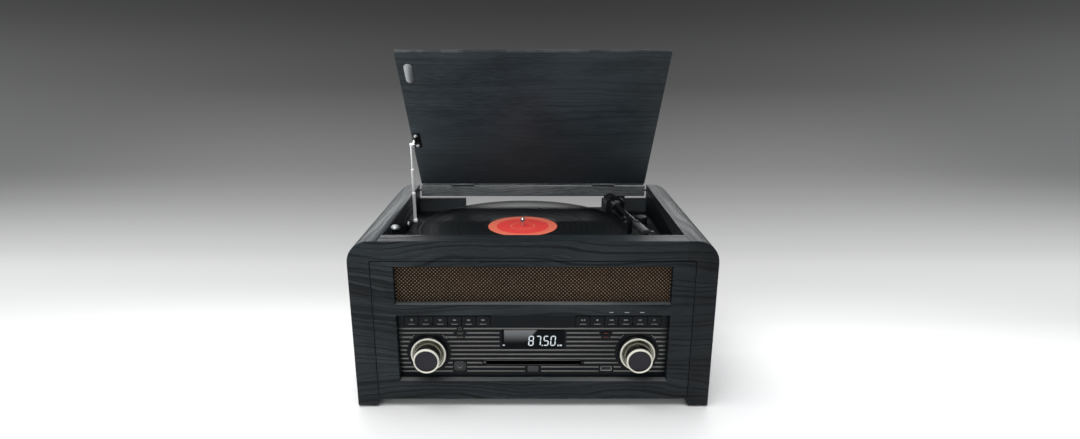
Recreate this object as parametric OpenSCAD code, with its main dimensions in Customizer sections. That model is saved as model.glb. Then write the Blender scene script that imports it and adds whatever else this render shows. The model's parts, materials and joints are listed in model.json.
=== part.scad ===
// Stereo music centre: wooden cabinet with a lift-up lid, record deck,
// slot-loading disc drive, tuner display, two knobs and two rows of keys.
// Millimetres, +Z up, X to the right seen from the front, Y to the back.
// The origin is on the floor, at the middle of the whole model's footprint.

/* [Cabinet] */
// Width over the two sides
body_w = 450; // [449:0.5:456]
// Height from the floor to the top of the cabinet
body_h = 224; // [223.5:0.5:225]
// Depth of the sides, front to back
body_d = 304; // [303:0.5:305]
// Radius of the long top edges
corner_r = 28; // [20:1:30]
// Thickness of the side walls
side_t = 26.5; // [24:0.5:26.5]
// Height of the top rails
rail_h = 25; // [24.6:0.1:25]
// Thickness of the front panel
panel_t = 10; // [9:0.1:10]
// Height of the sledge legs below the floor board
leg_h = 11; // [9:0.5:11]
// Thickness of the felt pads
pad_t = 1.5; // [1:0.25:2]

/* [Lid] */
// Thickness of the lid board
lid_t = 7; // [6:0.5:9]
// Half of the width of the lid
lid_hw = 182; // [181:0.5:182.5]
// How far the lid stands open
lid_open = 53; // [53]

/* [Deck] */
// Radius of the record
record_r = 150.5; // [146:0.5:150.5]
// Radius of the paper label area
label_r = 50; // [45:1:52]
// Radius of the platter
platter_r = 100; // [97:0.5:105]
// Radius of the spindle
spindle_r = 3.6; // [3.5:0.05:3.6]
// Angle of the parked tonearm away from straight ahead
arm_park = 9.3; // [9:0.1:10]
// Height of the tonearm's pitch axis
arm_z = 203; // [203]

/* [Front] */
// Radius of the knob skirt
knob_skirt_r = 22.5; // [21:0.5:22.5]
// Radius of the knob's grip at its front
knob_grip_r = 16.4; // [15:0.2:17]
// How far a knob stands out in front of the bezel
knob_l = 26; // [22:1:26]
// Pitch of the six keys in a row
key_pitch = 17.9; // [17.7:0.1:17.9]
// Width of one key
key_w = 17.3; // [16.5:0.1:17.4]
// Pitch of the eleven trim stripes
stripe_pitch = 5.98; // [5.9:0.02:6]
// Height of one trim stripe
stripe_h = 2; // [1.8:0.1:2.4]
// Clear height of the disc slot
slot_h = 4.8; // [4.6:0.1:5]

/* [Stay] */
// Outer radius of the lid stay's lower tube
stay_r = 2.4; // [2.2:0.05:2.4]

/* [Hidden] */
$fn = 64;

hw = body_w / 2;
side_in = hw - side_t;          // inner face of the side walls
well_x = 186.6;                 // half width of the opening in the top
rail_z = body_h - rail_h;       // underside of the top rails
arch_r = 3.5;                   // inner corners of the arch
rail_d = 25.3;                  // depth of the front top rail
strip_y = 290;                  // front face of the rear strip
back_y = body_d - 8;            // front face of the back board
deck_z = 180;                   // top of the deck
panel_y = 0.8;                  // front face of the front panel
bz_y = 10.8;                    // front face of the bezel
bz_t = 3.5;
cloth_y = bz_y;
grille_x = 170; grille_z0 = 141.9; grille_z1 = 191;
bz_x = 169.8; bz_z0 = 36.6; bz_z1 = 127.4;
knob_x = 132.2; knob_z = 72.2;
key_z0 = 109.5; key_z1 = 122.1; key_cx = 107.5;
slot_x = 61; slot_z = 57.6;
spin_x = -15; spin_y = 167.5;
rec_z = 192; rec_t = 1;
shaft_r = spindle_r - 0.5;       // spindle shaft below the platter
// the front face of the sides lies at this Y, half way between the
// knobs' faces and the record's rear edge
front_y = -(bz_y - knob_l + spin_y + record_r) / 2;
motor_x = spin_x - 55.2; motor_y = spin_y - 55.2;
ap_x = 130; ap_y = 256;         // tonearm pivot
hy = body_d - 7.4; hz = body_h + 2.2;      // lid hinge axis
lid_z = body_h + 0.8;           // underside of the closed lid
lid_y1 = hy - 2.4; lid_y0 = 29.7;
// lid stay, with the lid open
st_x = -183.1; st_y = 230; st_z = 184;
su_s = 100; su_off = 8;
suy = (lid_y1 - su_s - hy) * cos(lid_open) + (lid_z - su_off - hz) * sin(lid_open) + hy;
suz = -(lid_y1 - su_s - hy) * sin(lid_open) + (lid_z - su_off - hz) * cos(lid_open) + hz;
st_len = sqrt(pow(suy - st_y, 2) + pow(suz - st_z, 2));
st_a = atan2(suz - st_z, suy - st_y);
st_len0 = sqrt(pow(lid_y1 - su_s - st_y, 2) + pow(lid_z - su_off - st_z, 2));
st_ext = (st_len - st_len0) / 2;

wood = [0.13, 0.15, 0.16];
black = [0.06, 0.06, 0.065];
silver = [0.72, 0.73, 0.74];
cream = [0.80, 0.78, 0.72];

// ---- helpers ----
module place() { translate([0, front_y, 0]) children(); }
// a section drawn in X-Z, swept from y0 to y1
module sweep(y0, y1) { translate([0, y1, 0]) rotate([90, 0, 0]) linear_extrude(y1 - y0) children(); }
module box(x0, x1, y0, y1, z0, z1) { translate([x0, y0, z0]) cube([x1 - x0, y1 - y0, z1 - z0]); }
// cylinders along Z, Y and X
module cz(x, y, z0, z1, r) { translate([x, y, z0]) cylinder(h = z1 - z0, r = r); }
module cyy(x, z, y0, y1, r) { translate([x, y1, z]) rotate([90, 0, 0]) cylinder(h = y1 - y0, r = r); }
module cxx(y, z, x0, x1, r) { translate([x0, y, z]) rotate([0, 90, 0]) cylinder(h = x1 - x0, r = r); }
// turned profile standing on Z, and one pointing to the front
module turned(x, y, z) { translate([x, y, z]) rotate_extrude($fn = 96) children(); }
module turned_front(x, y, z) { translate([x, y, z]) rotate([90, 0, 0]) rotate_extrude($fn = 96) children(); }
// things modelled on the closed lid, swung open
module at_lid() { translate([0, hy, hz]) rotate([-lid_open, 0, 0]) translate([0, -hy, -hz]) children(); }
// the tonearm's own frame: pivot at the origin, head towards -Y
module at_arm() { translate([ap_x, ap_y, 0]) rotate([0, 0, arm_park]) children(); }
// the lid stay's own frame: Z along the tube from its lower pin
module at_stay() { translate([st_x, st_y, st_z]) rotate([st_a - 90, 0, 0]) children(); }

// ---- cabinet ----
side_pts = concat(
  [[hw - 25.4, pad_t], [hw, pad_t]],
  [for (i = [0:10]) [hw - corner_r + corner_r * cos(9 * i), body_h - corner_r + corner_r * sin(9 * i)]],
  [[well_x, body_h], [well_x, rail_z], [side_in - arch_r, rail_z]],
  [for (i = [1:5]) [side_in - arch_r + arch_r * cos(90 - 18 * i), rail_z - arch_r + arch_r * sin(90 - 18 * i)]],
  [[side_in, leg_h], [side_in - 4.1, leg_h]]);

module side_right() {
  color(wood) place() difference() {
    sweep(0, body_d) polygon(side_pts);
    cxx(297, 216, well_x - 1, well_x + 6.1, 1.52);
  }
}

module side_left() { color(wood) mirror([1, 0, 0]) side_right(); }

module top_rail() { color(wood) place() box(-well_x, well_x, 0, rail_d, rail_z, body_h); }

module rear_strip() {
  color(wood) place() difference() {
    union() {
      box(-182, 182, strip_y, body_d, 207.5, body_h);
      // low bead behind the hinges
      box(-182, 182, body_d - 2.4, body_d, body_h - 1, body_h + 2.2);
    }
    cxx(297, 216, -183, -174, 1.52);
    cxx(297, 216, 174, 183, 1.52);
  }
}

back_screws = [[-185, 16.5], [0, 16.5], [185, 16.5], [-185, 120], [185, 120], [-185, 178], [185, 178]];

module back_board() {
  color([0.10, 0.11, 0.12]) place() difference() {
    sweep(back_y, body_d) polygon([[-side_in + 0.2, leg_h], [side_in - 0.2, leg_h],
      [side_in - 0.2, rail_z - 3.6], [side_in - 3.6, rail_z - 0.2], [well_x - 0.2, rail_z - 0.2], [well_x - 0.2, 201.5],
      [151, 201.5], [151, 207.5], [117, 207.5], [117, 201.5], [113.8, 201.5], [113.8, 185.5],
      [-110.8, 185.5], [-110.8, 201.5], [-well_x + 0.2, 201.5], [-well_x + 0.2, rail_z - 0.2],
      [-side_in + 3.6, rail_z - 0.2], [-side_in + 0.2, rail_z - 3.6]]);
    box(-56, 56, back_y - 1, body_d + 1, 56, 100);
    for (s = [-1, 1], i = [0:5]) box(s * 122 - 30, s * 122 + 30, back_y - 1, body_d + 1, 128 + 7 * i, 131 + 7 * i);
    for (p = back_screws) cyy(p[0], p[1], back_y - 1, body_d + 1, 1.6);
  }
}

module bottom_board() {
  color([0.12, 0.12, 0.12]) place() difference() {
    box(-side_in, side_in, panel_y + panel_t, back_y, leg_h, leg_h + 10);
    for (s = [-1, 1], i = [0:6]) box(s * 105 - 40, s * 105 + 40, 90 + 16 * i, 94 + 16 * i, leg_h - 1, leg_h + 11);
  }
}

fp_x = side_in - 1;
fp_z = rail_z - 1;
module front_panel() {
  color(wood) place() difference() {
    sweep(panel_y, panel_y + panel_t) polygon(concat(
      [[-fp_x, leg_h], [fp_x, leg_h]],
      [for (i = [0:5]) [fp_x - 3 + 3 * cos(18 * i), fp_z - 3 + 3 * sin(18 * i)]],
      [for (i = [0:5]) [-fp_x + 3 - 3 * sin(18 * i), fp_z - 3 + 3 * cos(18 * i)]]));
    box(-grille_x, grille_x, 0, 12, grille_z0, grille_z1);
    box(-bz_x, bz_x, 0, 12, bz_z0, bz_z1);
  }
}

module deck_tray() {
  color(black) place() difference() {
    union() {
      box(-189, 189, 13.6, back_y, deck_z - 3, deck_z);
      box(-189, -well_x, 13.6, back_y, deck_z - 1, rail_z);
      box(well_x, 189, 13.6, back_y, deck_z - 1, rail_z);
      box(-188, 188, 13.6, 15.2, deck_z - 1, rail_z);
    }
    cz(spin_x, spin_y, deck_z - 4, deck_z + 1, 7.05);
    cz(motor_x, motor_y, deck_z - 4, deck_z + 1, 9);
    cz(ap_x, ap_y, deck_z - 4, deck_z + 1, 7);
    cz(167, 225, deck_z - 4, deck_z + 1, 3.05);
  }
}

module foot_pads() {
  color([0.05, 0.05, 0.05]) place()
    for (s = [-1, 1], y = [22, body_d - 22]) cz(s * (hw - 12.8), y, 0, pad_t, 9);
}

module screw_head(r, h) { rotate_extrude($fn = 48) polygon([[0, 0], [r, 0], [r, h * 0.35], [r * 0.72, h * 0.85], [r * 0.3, h], [0, h]]); }
module fasteners() {
  color(silver) place() {
    // back board screws
    for (p = back_screws) {
      cyy(p[0], p[1], back_y + 0.5, body_d + 0.1, 1.5);
      translate([p[0], body_d, p[1]]) rotate([-90, 0, 0]) screw_head(3.4, 1.8);
    }
    // socket plate screws
    for (x = [-57, 57], z = [55, 101]) translate([x, body_d + 1.6, z]) rotate([-90, 0, 0]) screw_head(2.6, 1.4);
    // deck screws
    for (p = [[-169.8, 190.6], [170, 178], [-172, 280], [172, 282]])
      translate([p[0], p[1], deck_z]) screw_head(2.4, 1.6);
    // pins that carry the rear strip
    for (s = [-1, 1]) cxx(297, 216, s > 0 ? 174.2 : -192.4, s > 0 ? 192.4 : -174.2, 1.5);
  }
}

// ---- front ----
module grille_cloth() { color([0.25, 0.18, 0.12]) place() box(-176, 176, cloth_y, cloth_y + 2.4, 137.5, 196.5); }

module speakers() {
  color([0.2, 0.2, 0.21]) place() for (s = [-1, 1]) {
    difference() {
      union() {
        box(s * 88 - 30, s * 88 + 30, cloth_y + 2.4, cloth_y + 4.2, 137.6, 176.4);
        turned_front(s * 88, cloth_y + 29, 156) polygon([[0, -8], [16, -8], [16, 5], [15, 5],
          [15, 12], [20, 25.5], [0, 25.5]]);
      }
      turned_front(s * 88, cloth_y + 29, 156) polygon([[0, 13], [6, 13], [18.4, 25], [18.4, 27], [0, 27]]);
    }
    // dust cap
    turned_front(s * 88, cloth_y + 29, 156) polygon([[0, 12.9], [5.9, 12.9], [4.6, 15], [2.4, 16.1], [0, 16.4]]);
  }
}

module bezel() {
  color(black) place() difference() {
    union() {
      box(-176, 176, bz_y, bz_y + bz_t, 31, 133);
      // posts that carry the control board
      for (s = [-1, 1], z = [45, 121]) cyy(s * 165.2, z, bz_y + bz_t - 0.5, 21, 2.6);
    }
    for (s = [-1, 1]) {
      box(s * key_cx - 53.9, s * key_cx + 53.9, bz_y - 1, bz_y + bz_t + 1, key_z0 - 0.3, key_z1 + 0.3);
      cyy(s * knob_x, knob_z, bz_y - 1, bz_y + bz_t + 1, 3.6);
    }
    box(-39.6, 39.6, bz_y - 1, bz_y + bz_t + 1, 76.8, 103.1);
    box(-slot_x - 2.9, slot_x + 2.9, bz_y - 1, bz_y + bz_t + 1, slot_z - slot_h / 2 - 1.2, slot_z + slot_h / 2 + 1.2);
    box(-7.9, 7.9, bz_y - 1, bz_y + bz_t + 1, 43.5, 53.3);
    box(86.7, 100.7, bz_y - 1, bz_y + bz_t + 1, 45.6, 52.8);
    cyy(-93.6, 52.3, bz_y - 1, bz_y + bz_t + 1, 4.7);
  }
}

// stripe rows, each a list of [from, to] stretches between its gaps
k0 = 160.4; k1 = 104.4;
stripe_ends = 169.3;
function rows() = [
  [[-stripe_ends, -96.2], [-87.4, stripe_ends]],
  [[-stripe_ends, -100.4], [-84, -42.3], [42.3, 83.8], [100.4, stripe_ends]],
  [[-stripe_ends, -151.5], [-113, -96.4], [-86, -42.3], [42.3, 86.4], [98, 113], [151.5, stripe_ends]],
  [[-stripe_ends, -155.8], [-108.6, -42.3], [42.3, 108.6], [155.8, stripe_ends]],
  [[-stripe_ends, -158.8], [-105.6, -42.3], [42.3, 105.6], [158.8, stripe_ends]],
  [[-stripe_ends, -k0], [-k1, k1], [k0, stripe_ends]],
  [[-stripe_ends, -k0], [-k1, k1], [k0, stripe_ends]],
  [[-stripe_ends, -158.8], [-105.6, 105.6], [158.8, stripe_ends]],
  [[-stripe_ends, -155.8], [-108.6, -102.8], [-84.6, -slot_x - 4], [slot_x + 4, 108.6], [155.8, stripe_ends]],
  [[-stripe_ends, -151.5], [-113, -102.8], [-84.6, -10.2], [10.2, 84.2], [103.2, 113], [151.5, stripe_ends]],
  [[-stripe_ends, -102.8], [-84.6, -10.2], [10.2, 84.2], [103.2, stripe_ends]]];

module stripe_trim() {
  color([0.55, 0.54, 0.50]) place()
    for (i = [0:10], q = rows()[i])
      box(q[0], q[1], bz_y - 0.7, bz_y, 105.1 - stripe_pitch * i - stripe_h / 2, 105.1 - stripe_pitch * i + stripe_h / 2);
}

module knob_dishes() {
  color([0.03, 0.03, 0.03]) place() for (s = [-1, 1])
    turned_front(s * knob_x, bz_y, knob_z) polygon([[23.4, 0], [25.6, 0], [25.6, 0.5], [25.1, 0.9], [24.0, 0.6], [23.4, 0.3]]);
}

module front_windows() {
  // display lens, and the small dark lens of the remote receiver
  color([0.08, 0.09, 0.10]) place() {
    box(-39.3, 39.3, bz_y - 0.5, bz_y + 2, 77.1, 102.8);
    box(86.6, 97.6, bz_y - 0.5, bz_y, 95.6, 101.4);
  }
}

module slot_trim() {
  color([0.16, 0.16, 0.16]) place() difference() {
    sweep(bz_y - 0.5, 20) polygon([[-slot_x - 2.6, slot_z - 0.6], [-slot_x + 2, slot_z - slot_h / 2 - 1],
      [slot_x - 2, slot_z - slot_h / 2 - 1], [slot_x + 2.6, slot_z - 0.6], [slot_x + 2.6, slot_z + 0.6],
      [slot_x - 2, slot_z + slot_h / 2 + 1], [-slot_x + 2, slot_z + slot_h / 2 + 1], [-slot_x - 2.6, slot_z + 0.6]]);
    box(-slot_x + 1, slot_x - 1, bz_y - 2, 21, slot_z - slot_h / 2, slot_z + slot_h / 2);
  }
}

module cd_mechanism() {
  color([0.5, 0.5, 0.52]) place() difference() {
    union() {
      box(-74, 74, 20, 190, 38, 79);
      // mounting feet down to the floor board
      for (s = [-1, 1], y = [40, 160]) box(s * 66 - 6, s * 66 + 6, y, y + 12, leg_h + 10, 38);
    }
    box(-slot_x - 0.5, slot_x + 0.5, 19, 150, slot_z - 3.1, slot_z + 3.1);
  }
}

module eject_button() {
  color([0.35, 0.36, 0.37]) place() box(-7.4, 7.4, 9.3, 17.4, 44, 52.9);
}

module front_sockets() {
  color(silver) place() {
    // USB port: a folded metal shell with a tongue set back inside
    difference() {
      union() {
        box(85.9, 101.5, bz_y - 0.9, bz_y, 45.1, 53.3);
        box(87, 100.4, bz_y, 25, 45.9, 52.5);
      }
      box(87.4, 100, bz_y - 2, 24, 46.9, 51.5);
    }
    box(88.4, 99, 17, 24.2, 48.1, 49.8);
    // headphone socket
    difference() {
      union() {
        box(-101.1, -86.1, bz_y - 0.9, bz_y, 45.2, 59.4);
        cyy(-93.6, 52.3, bz_y, 25, 4.4);
      }
      cyy(-93.6, 52.3, bz_y - 2, 23.5, 1.8);
    }
  }
}

module control_board() {
  color([0.08, 0.25, 0.14]) place() difference() {
    union() {
      box(-168, 168, 21, 22.6, 84, 126);
      box(-168, -80, 21, 22.6, 38, 90);
      box(80, 168, 21, 22.6, 38, 90);
      // rotary encoders behind the knobs
      for (s = [-1, 1]) box(s * knob_x - 6.5, s * knob_x + 6.5, 15, 21.2, knob_z - 6.5, knob_z + 6.5);
      // key switches
      for (s = [-1, 1], i = [0:5]) {
        x = s * key_cx + (i - 2.5) * key_pitch;
        box(x - 3, x + 3, 19.6, 21.2, 112.8, 118.8);
        cyy(x, 115.8, 18.9, 19.8, 1.7);
      }
      // display glass and its spacer
      box(-39.2, 39.2, bz_y + 2, 21.2, 85, 102);
      box(-39.2, 39.2, bz_y + 2, 17, 78.5, 102);
    }
    for (s = [-1, 1]) cyy(s * knob_x, knob_z, 14, 20.7, 3.06);
    box(86.2, 101.2, 20, 24, 44.9, 53.5);
    cyy(-93.6, 52.3, 20, 24, 5.2);
    
  }
}

knob_pts = [[0, 0.5], [knob_skirt_r - 0.3, 0.5], [knob_skirt_r, 1.1], [knob_skirt_r, 6.6],
  [knob_skirt_r - 0.6, 7.6], [knob_skirt_r - 1.6, 7.9], [knob_skirt_r - 2.7, 7.3], [knob_skirt_r - 2.9, 6.3],
  [knob_grip_r + 2, 6.3], [knob_grip_r + 1.6, 7.4], [knob_grip_r + 0.1, knob_l - 1.6], [knob_grip_r - 0.3, knob_l - 0.4],
  [knob_grip_r - 1.1, knob_l], [knob_grip_r - 2, knob_l - 0.4], [knob_grip_r - 2.3, knob_l - 1.5], [0, knob_l - 1.9]];
module knob(x) {
  place() {
    turned_front(x, bz_y, knob_z) polygon(knob_pts);
    cyy(x, knob_z, bz_y - 1, 20.4, 3);
  }
}
module volume_knob() { color(cream) knob(-knob_x); }
module tuning_knob() { color(cream) knob(knob_x); }

module key(x) {
  color([0.09, 0.09, 0.10]) place() {
    box(x - key_w / 2, x + key_w / 2, 9.7, 17.3, key_z0, key_z1);
    // finger nub
    box(x - 3.4, x + 3.4, 8.8, 9.9, 110.6, 112.2);
  }
}
function key_at(s, i) = s * key_cx + (i - 3.5) * key_pitch;
module key_left_1() { key(key_at(-1, 1)); }
module key_left_2() { key(key_at(-1, 2)); }
module key_left_3() { key(key_at(-1, 3)); }
module key_left_4() { key(key_at(-1, 4)); }
module key_left_5() { key(key_at(-1, 5)); }
module key_left_6() { key(key_at(-1, 6)); }
module key_right_1() { key(key_at(1, 1)); }
module key_right_2() { key(key_at(1, 2)); }
module key_right_3() { key(key_at(1, 3)); }
module key_right_4() { key(key_at(1, 4)); }
module key_right_5() { key(key_at(1, 5)); }
module key_right_6() { key(key_at(1, 6)); }

// ---- back ----
module jack_plate() {
  color([0.10, 0.10, 0.10]) place() difference() {
    union() {
      box(-62, 62, body_d, body_d + 1.6, 50, 106);
      // two line-out barrels
      for (x = [-38, -20]) {
        cyy(x, 78, body_d - 12, body_d + 3, 5.6);
        cyy(x, 78, body_d - 12, body_d + 10, 4.15);
      }
      // power inlet
      cyy(36, 78, body_d - 14, body_d + 4, 5.5);
      // aerial terminal
      box(4, 16, body_d - 8, body_d + 4, 72, 84);
    }
    for (x = [-38, -20]) cyy(x, 78, body_d - 8, body_d + 11, 1.6);
    cyy(36, 78, body_d - 10, body_d + 5, 2.8);
    cyy(10, 78, body_d - 4, body_d + 5, 1.5);
  }
}

// ---- deck ----
module spindle_bearing() {
  color([0.72, 0.58, 0.32]) place()
    turned(spin_x, spin_y, 0) polygon([[0, 145], [7, 145], [7, deck_z], [12, deck_z], [12, deck_z + 1.4],
      [shaft_r + 0.05, deck_z + 1.4], [shaft_r + 0.05, 149], [0, 149]]);
}

module platter() {
  color([0.12, 0.12, 0.12]) place()
    turned(spin_x, spin_y, 0) polygon([[0, 149.4], [shaft_r, 149.4], [shaft_r, 183], [11, 183], [11, 187],
      [57, 187], [57, 183], [60, 183], [60, 187], [platter_r - 4, 187], [platter_r - 4, 183.4], [platter_r, 183.4],
      [platter_r, rec_z - 0.6], [platter_r - 0.8, rec_z], [spindle_r - 0.4, rec_z], [spindle_r - 0.4, 193.4], [spindle_r, 193.4], [spindle_r, 202.6], [spindle_r - 0.5, 204.6],
      [spindle_r - 1.5, 206], [spindle_r - 2.7, 206.6], [0, 206.7]]);
}

module record() {
  color([0.03, 0.03, 0.03]) place()
    turned(spin_x, spin_y, 0) polygon([[spindle_r + 0.04, rec_z], [record_r, rec_z], [record_r, rec_z + 0.9],
      [record_r - 3, rec_z + rec_t], [label_r + 1, rec_z + rec_t], [label_r, rec_z + rec_t + 0.25],
      [spindle_r + 0.04, rec_z + rec_t + 0.25]]);
}

module turntable_motor() {
  color(silver) place() difference() {
    union() {
      cz(motor_x, motor_y, 152, 174.6, 17);
      cz(motor_x, motor_y, 174, deck_z - 3, 22);
      cz(motor_x, motor_y, 176, 179.4, 5);
    }
    cz(motor_x, motor_y, 158, 180, 1.05);
  }
}

module motor_pulley() {
  color([0.75, 0.62, 0.35]) place() {
    cz(motor_x, motor_y, 158.5, 183, 1);
    turned(motor_x, motor_y, 0) polygon([[0, 182.6], [6.4, 182.6], [6.4, 183.1], [5, 183.2], [5, 186.2], [6.4, 186.3],
      [6.4, 186.7], [0, 186.7]]);
  }
}

module belt_line(g) {
  hull() {
    translate([spin_x, spin_y]) circle(r = 60 + g, $fn = 96);
    translate([motor_x, motor_y]) circle(r = 5 + g, $fn = 32);
  }
}
module drive_belt() {
  color([0.04, 0.04, 0.04]) place() translate([0, 0, 183.5]) linear_extrude(2.4)
    difference() { belt_line(1.2); belt_line(0.3); }
}

module arm_base() {
  color(black) place() {
    turned(ap_x, ap_y, 0) polygon([[0, 174], [6.9, 174], [6.9, deck_z], [19, deck_z], [19, deck_z + 1.6], [18, deck_z + 2.6],
      [15, deck_z + 3.2], [15, 190.4], [14.2, 191], [4, 191], [4, 196.2], [0, 196.2]]);
    // ear that carries the lift lever
    at_arm() difference() {
      box(-6.2, -3.8, -22.6, -16.8, deck_z, 198.4);
      cxx(-19.6, 195.4, -8, -2, 1.55);
    }
  }
}

module lift_lever() {
  color(silver) place() at_arm() {
    cxx(-19.6, 195.4, -9, -3.9, 1.5);
    cxx(-19.6, 195.4, -9.2, -6.6, 3);
    box(-9, -6.8, -81.5, -19.6, 195.8, 198);
    // round finger tip
    translate([-7.9, -81, 196.9]) rotate([90, 0, 0])
      rotate_extrude($fn = 48) polygon([[0, -1], [1.6, -1], [2.2, 0.4], [2.2, 3.6], [1.5, 4.8], [0, 5.1]]);
  }
}

module arm_rest() {
  color(black) place() at_arm() {
    cz(0, -80, deck_z, 197, 3.2);
    box(-4, 5.6, -83, -77, 196, 199.4);
    box(3.6, 5.6, -83, -77, 199, 207);
  }
}

module arm_yoke() {
  color(black) place() at_arm() difference() {
    turned(0, 0, 0) polygon([[0, 191.6], [14.6, 191.6], [15, 192.2], [15, 208.5], [13.6, 210.6], [11.6, 211.4], [0, 211.4]]);
    box(-8.6, 8.6, -20, 20, 196.6, 214);
    cz(0, 0, 190, 198, 4.05);
    cxx(0, arm_z, -16, 16, 1.55);
  }
}

module arm_tube() {
  color([0.45, 0.46, 0.47]) place() at_arm() {
    box(-7.6, 7.6, -6.5, 6.5, arm_z - 5, arm_z + 5);
    cxx(0, arm_z, -14.4, 14.4, 1.5);
    cyy(0, arm_z, -112, -6, 3);
    cyy(0, arm_z, 6, 32.6, 2.5);
  }
}

module counterweight() {
  color([0.2, 0.2, 0.21]) place() at_arm() difference() {
    translate([0, 16.4, arm_z]) rotate([-90, 0, 0]) rotate_extrude($fn = 96)
      polygon([[0, 0], [9.4, 0], [10.4, 1], [10.4, 5], [9.8, 5.4], [9.8, 6.2], [10.4, 6.6], [10.4, 13.8], [9.6, 14.8], [0, 14.8]]);
    cyy(0, arm_z, 12, 36, 2.54);
  }
}

module headshell() {
  color([0.55, 0.56, 0.58]) place() at_arm() {
    difference() {
      union() {
        sweep(-150, -108) polygon([[-5.8, 199.8], [5.8, 199.8], [5.8, 203.4], [4.2, 205], [-4.2, 205], [-5.8, 203.4]]);
        cyy(0, arm_z, -112, -101, 4);
      }
      cyy(0, arm_z, -112.2, -100, 3.04);
    }
    // cartridge and stylus
    box(-4.6, 4.6, -147, -130, 195.2, 200.4);
    translate([0, -142, 0]) rotate_extrude($fn = 32) polygon([[0, 193.7], [0.5, 193.9], [1.6, 195.3], [0, 195.3]]);
    // finger lift
    box(5.4, 12, -149, -146.4, 201.2, 202.4);
  }
}

module speed_knob() {
  color([0.14, 0.14, 0.15]) place() {
    cz(167, 225, 170, 181, 3);
    turned(167, 225, 0) polygon([[0, deck_z + 0.6], [9.7, deck_z + 0.6], [9.7, 190.8], [8.9, 191.8], [7.4, 192], [0, 191.6]]);
    box(166.4, 167.6, 216.4, 222, 191, 192.6);
  }
}

module lid_rest() {
  color(silver) place()
    turned(-178.6, 67, 0) polygon([[0, deck_z], [6, deck_z], [6, deck_z + 2], [4.2, deck_z + 3.4], [4.2, 218.4], [6.2, 219.4],
      [6.6, 220.2], [6.2, 221.6], [4.9, 223], [3.1, 224], [1.4, 224.4], [0, 224.45]]);
}

// ---- lid ----
module lid_board() { color(wood) place() at_lid() box(-lid_hw, lid_hw, lid_y0, lid_y1, lid_z, lid_z + lid_t); }

module lid_plate() {
  color([0.62, 0.63, 0.64]) place() at_lid() translate([-166.7, lid_y1 - 230, lid_z - 0.9]) linear_extrude(0.9)
    polygon(concat([for (i = [0:12]) [5.95 * cos(15 * i), 10.55 + 5.95 * sin(15 * i)]],
      [for (i = [12:24]) [5.95 * cos(15 * i), -10.55 + 5.95 * sin(15 * i)]]));
}

hinge_xs = [-115, 115];
module hinge_leaves_fixed() {
  color(silver) place() for (x = hinge_xs) {
    box(x - 18, x + 18, hy + 2.3, body_d - 2.5, body_h, body_h + 0.9);
    box(x - 6, x + 6, hy, hy + 3, body_h, body_h + 0.9);
    cxx(hy, hz, x - 6, x + 6, 2);
    cxx(hy, hz, x - 18.4, x + 18.4, 0.9);
    for (q = [-12, 12]) translate([x + q, hy + 3.6, body_h + 0.9]) screw_head(1.1, 0.6);
  }
}

module hinge_leaves_lid() {
  color(silver) place() at_lid() for (x = hinge_xs) difference() {
    union() {
      box(x - 18, x + 18, lid_y1, lid_y1 + 0.9, lid_z + 0.1, lid_z + lid_t - 0.6);
      for (s = [-1, 1]) {
        cxx(hy, hz, s > 0 ? x + 6.4 : x - 18, s > 0 ? x + 18 : x - 6.4, 2);
        box(s > 0 ? x + 6.4 : x - 18, s > 0 ? x + 18 : x - 6.4, lid_y1, hy - 1.2, lid_z + 0.6, hz + 1.2);
      }
    }
    cxx(hy, hz, x - 20, x + 20, 0.96);
    box(x - 6.4, x + 6.4, lid_y1 - 1, hy + 3, lid_z - 1, hz + 3);
  }
}

module stay_lid_bracket() {
  color(silver) place() at_lid() {
    box(-180, -169.5, lid_y1 - 116, lid_y1 - 87, lid_z - 1.4, lid_z);
    box(-180.4, -177.4, lid_y1 - su_s - 3.2, lid_y1 - su_s + 3.2, lid_z - su_off - 2.8, lid_z - 1);
    for (p = [[-175.2, -112], [-174.2, -91.4]])
      translate([p[0], lid_y1 + p[1], lid_z - 1.4]) rotate([180, 0, 0]) screw_head(2.8, 2.2);
  }
}

// ---- lid stay: three telescoping stages ----
module stay_wall_bracket() {
  color(silver) place() {
    box(-well_x, -185.9, 182.6, st_y + 9, deck_z, 195.6);
    translate([-185.9, 187.4, 191.6]) rotate([0, 90, 0]) screw_head(3, 1.8);
    cxx(st_y, st_z, -186.2, -180.6, 1.5);
    cxx(st_y, st_z, -181, -179.8, 2.6);
  }
}

module stay_tube() {
  color(silver) place() at_stay() difference() {
    union() {
      rotate([0, 90, 0]) translate([0, 0, -1.7]) cylinder(h = 3.3, r = 3.3);
      translate([0, 0, 2.8]) cylinder(h = 41.1, r = stay_r);
      translate([0, 0, 41.9]) cylinder(h = 2, r = stay_r + 0.25);
    }
    rotate([0, 90, 0]) translate([0, 0, -4]) cylinder(h = 8, r = 1.56);
    translate([0, 0, 4]) cylinder(h = 42, r = stay_r - 0.45);
  }
}

module stay_middle() {
  color(silver) place() at_stay() translate([0, 0, 4.4 + st_ext]) difference() {
    union() {
      cylinder(h = 41.3, r = stay_r - 0.5);
      translate([0, 0, 39.8]) cylinder(h = 1.5, r = stay_r);
    }
    translate([0, 0, -1]) cylinder(h = 44, r = stay_r - 0.95);
  }
}

module stay_rod() {
  color(silver) place() at_stay() {
    translate([0, 0, st_len - 43.6]) cylinder(h = 42, r = stay_r - 1);
    translate([0, 0, st_len]) rotate([0, 90, 0]) translate([0, 0, -1.6]) cylinder(h = 3.4, r = 2.4);
  }
}

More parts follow.
